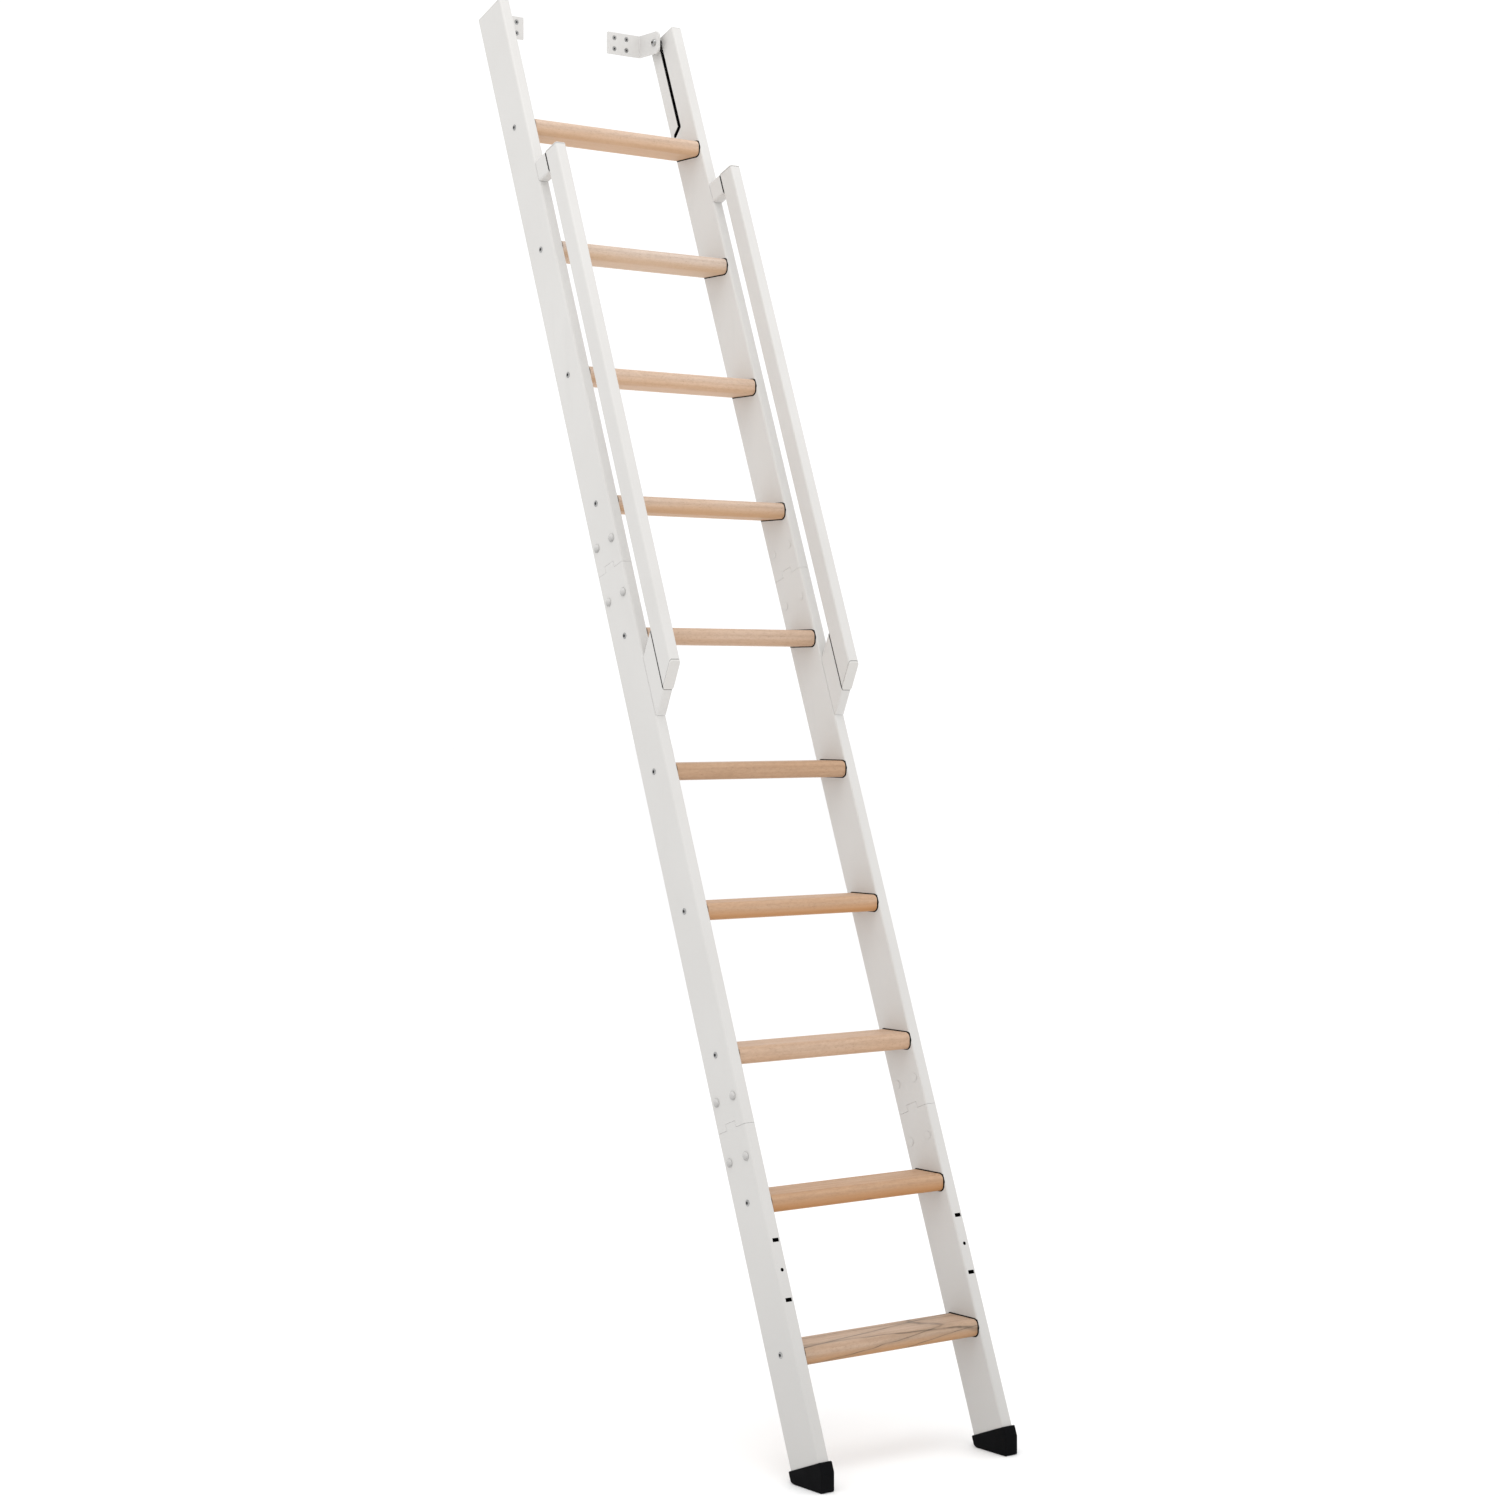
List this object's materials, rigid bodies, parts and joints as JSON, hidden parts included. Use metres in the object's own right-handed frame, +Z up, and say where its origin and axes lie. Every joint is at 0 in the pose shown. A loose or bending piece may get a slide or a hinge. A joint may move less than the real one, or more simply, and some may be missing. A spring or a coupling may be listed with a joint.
{
  "type": "library ladder",
  "caption": "Leaning library ladder: slotted tube stiles in bolted sections, wooden treads, side handrails, rubber boots and wall brackets the ladder pivots on.",
  "frame": {"origin": "midway between the stiles, on the line where the wall plane meets the floor plane", "axes": "+Z up; the wall is the plane Y = 0 and the climber stands on the -Y side facing +Y; +X to the climber's right"},
  "size_m": [0.4198, 1.0538, 2.5506],
  "materials": {
    "powder_coat": "satin white powder coat",
    "wood": "lacquered beech",
    "rubber": "matt black",
    "cap_plastic": "matt white",
    "painted_fastener": "white lacquered steel",
    "zinc": "zinc plated"
  },
  "bodies": {
    "wall_brackets": {"wall_bracket_left": "powder_coat", "wall_bracket_right": "powder_coat"},
    "pivots": {"pivot_bolt_left": "zinc", "pivot_spacer_left": "zinc", "pivot_nut_left": "zinc", "pivot_bolt_right": "zinc", "pivot_spacer_right": "zinc", "pivot_nut_right": "zinc"},
    "ladder": {"stile_left_bottom": "powder_coat", "stile_left_middle": "powder_coat", "stile_left_top": "powder_coat", "stile_cap_left": "cap_plastic", "splice_left_lower": "zinc", "splice_bolt_left_lower_upper_front": "painted_fastener", "splice_bolt_left_lower_upper_rear": "painted_fastener", "splice_bolt_left_lower_lower_front": "painted_fastener", "splice_bolt_left_lower_lower_rear": "painted_fastener", "splice_left_upper": "zinc", "splice_bolt_left_upper_upper_front": "painted_fastener", "splice_bolt_left_upper_upper_rear": "painted_fastener", "splice_bolt_left_upper_lower_front": "painted_fastener", "splice_bolt_left_upper_lower_rear": "painted_fastener", "handrail_left": "powder_coat", "handrail_cap_top_left": "cap_plastic", "handrail_cap_low_left": "cap_plastic", "handrail_standoff_top_left": "powder_coat", "handrail_standoff_low_left": "powder_coat", "boot_left": "rubber", "stile_right_bottom": "powder_coat", "stile_right_middle": "powder_coat", "stile_right_top": "powder_coat", "stile_cap_right": "cap_plastic", "splice_right_lower": "zinc", "splice_bolt_right_lower_upper_front": "painted_fastener", "splice_bolt_right_lower_upper_rear": "painted_fastener", "splice_bolt_right_lower_lower_front": "painted_fastener", "splice_bolt_right_lower_lower_rear": "painted_fastener", "splice_right_upper": "zinc", "splice_bolt_right_upper_upper_front": "painted_fastener", "splice_bolt_right_upper_upper_rear": "painted_fastener", "splice_bolt_right_upper_lower_front": "painted_fastener", "splice_bolt_right_upper_lower_rear": "painted_fastener", "handrail_right": "powder_coat", "handrail_cap_top_right": "cap_plastic", "handrail_cap_low_right": "cap_plastic", "handrail_standoff_top_right": "powder_coat", "handrail_standoff_low_right": "powder_coat", "boot_right": "rubber", "tread_01": "wood", "tread_02": "wood", "tread_03": "wood", "tread_04": "wood", "tread_05": "wood", "tread_06": "wood", "tread_07": "wood", "tread_08": "wood", "tread_09": "wood", "tread_10": "wood"}
  },
  "joints": [
    {"name": "ladder_swing", "type": "hinge", "parent": "wall_brackets", "child": "pivots", "pos_m": [0, -0.053, 2.52471], "axis": [1, 0, 0], "range_deg": [0, 16.8]},
    {"name": "ladder_lift", "type": "slide", "parent": "pivots", "child": "ladder", "axis": [0, 0.3551, 0.9348], "range_m": [0, 0.182]}
  ]
}
